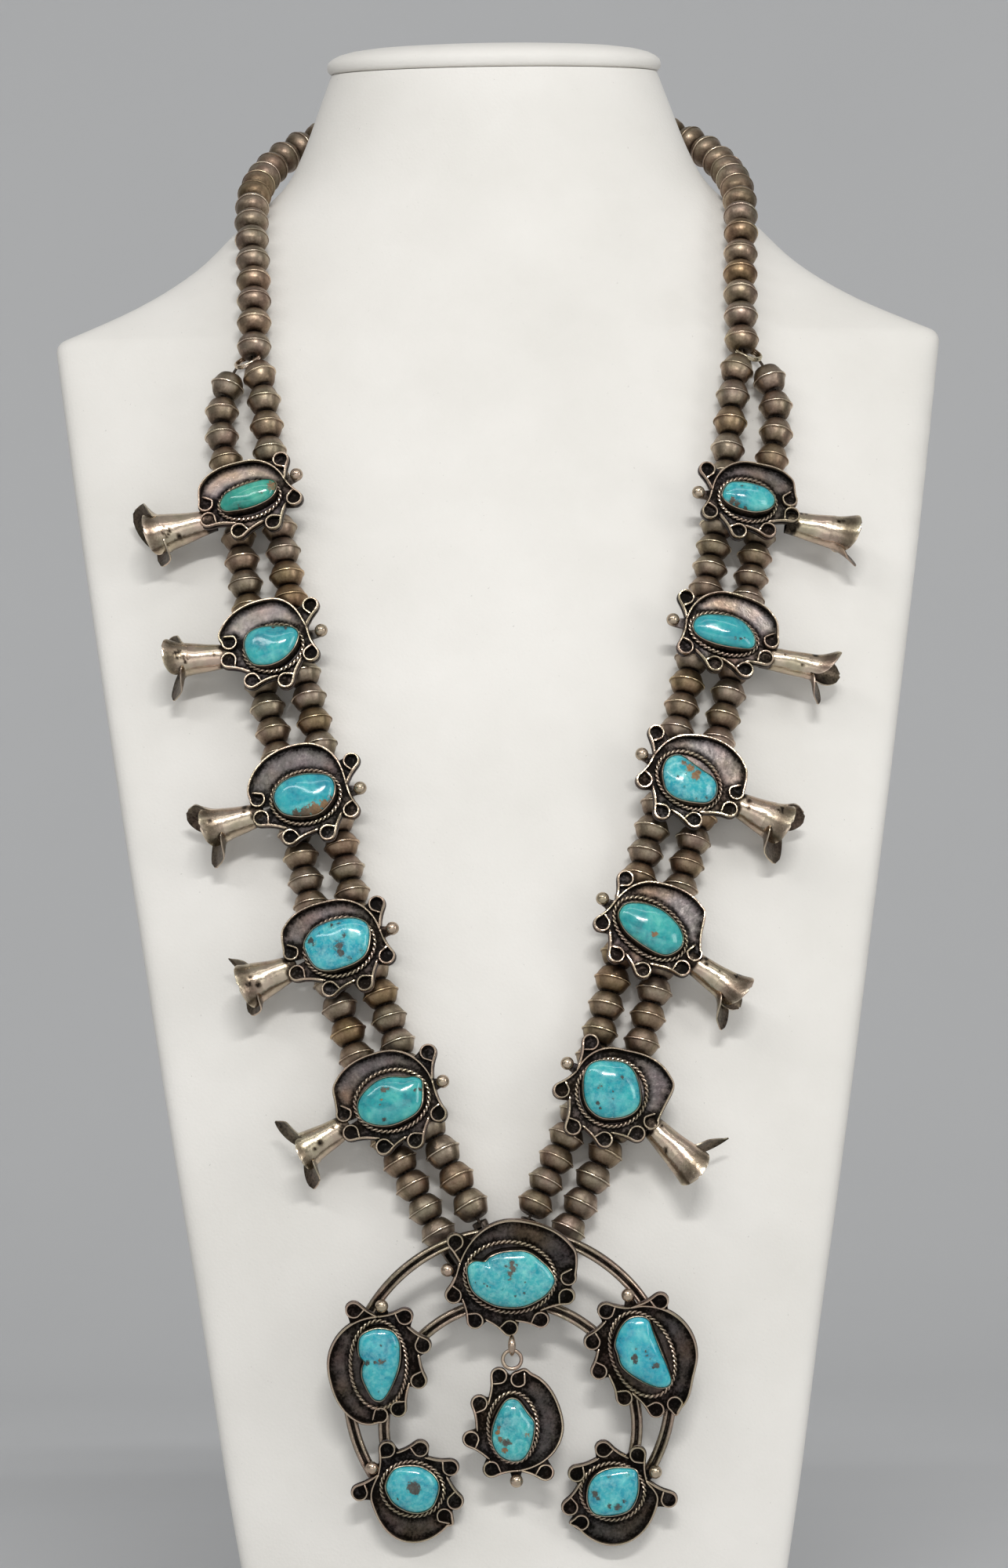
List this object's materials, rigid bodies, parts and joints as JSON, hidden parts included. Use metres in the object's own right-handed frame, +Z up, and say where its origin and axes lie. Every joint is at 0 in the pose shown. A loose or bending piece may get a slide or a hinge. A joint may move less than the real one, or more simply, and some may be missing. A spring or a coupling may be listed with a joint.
{
  "type": "squash blossom necklace on a neck bust",
  "caption": "Double-strand silver bead necklace with blossom units, turquoise stones, a naja and a hinged drop, on a covered neck bust.",
  "frame": {"origin": "middle of the foot, on the surface that the bust stands on", "axes": "+X to the viewer's right, +Y away from the viewer towards the bust's back, +Z up"},
  "size_m": [0.22, 0.1774, 0.3952],
  "materials": {
    "leatherette": "matte",
    "silver": "satin",
    "bright_silver": "satin",
    "turquoise": "polished",
    "thread": "matte"
  },
  "bodies": {
    "bust_and_necklace": {"bust_form": "leatherette", "bust_lid": "leatherette", "neck_beads_left": "silver", "neck_beads_right": "silver", "outer_beads_left": "silver", "inner_beads_left": "silver", "outer_beads_right": "silver", "inner_beads_right": "silver", "blossom_left_1": "silver", "blossom_left_2": "silver", "blossom_left_3": "silver", "blossom_left_4": "silver", "blossom_left_5": "silver", "blossom_right_1": "silver", "blossom_right_2": "silver", "blossom_right_3": "silver", "blossom_right_4": "silver", "blossom_right_5": "silver", "naja": "silver", "tie_ring_left": "bright_silver", "tie_ring_right": "bright_silver", "clasp": "bright_silver", "stone_left_1": "turquoise", "stone_left_2": "turquoise", "stone_left_3": "turquoise", "stone_left_4": "turquoise", "stone_left_5": "turquoise", "stone_right_1": "turquoise", "stone_right_2": "turquoise", "stone_right_3": "turquoise", "stone_right_4": "turquoise", "stone_right_5": "turquoise", "stone_crown": "turquoise", "stone_shoulder_left": "turquoise", "stone_shoulder_right": "turquoise", "stone_foot_left": "turquoise", "stone_foot_right": "turquoise", "neck_thread_left": "thread", "neck_thread_right": "thread", "outer_thread_left": "thread", "inner_thread_left": "thread", "outer_thread_right": "thread", "inner_thread_right": "thread"},
    "drop": {"drop": "silver", "stone_drop": "turquoise"}
  },
  "joints": [
    {"name": "drop_swing", "type": "hinge", "parent": "bust_and_necklace", "child": "drop", "pos_m": [0, -0.0783, 0.07539], "axis": [-1, 0, 0], "range_deg": [-8, 70]}
  ]
}
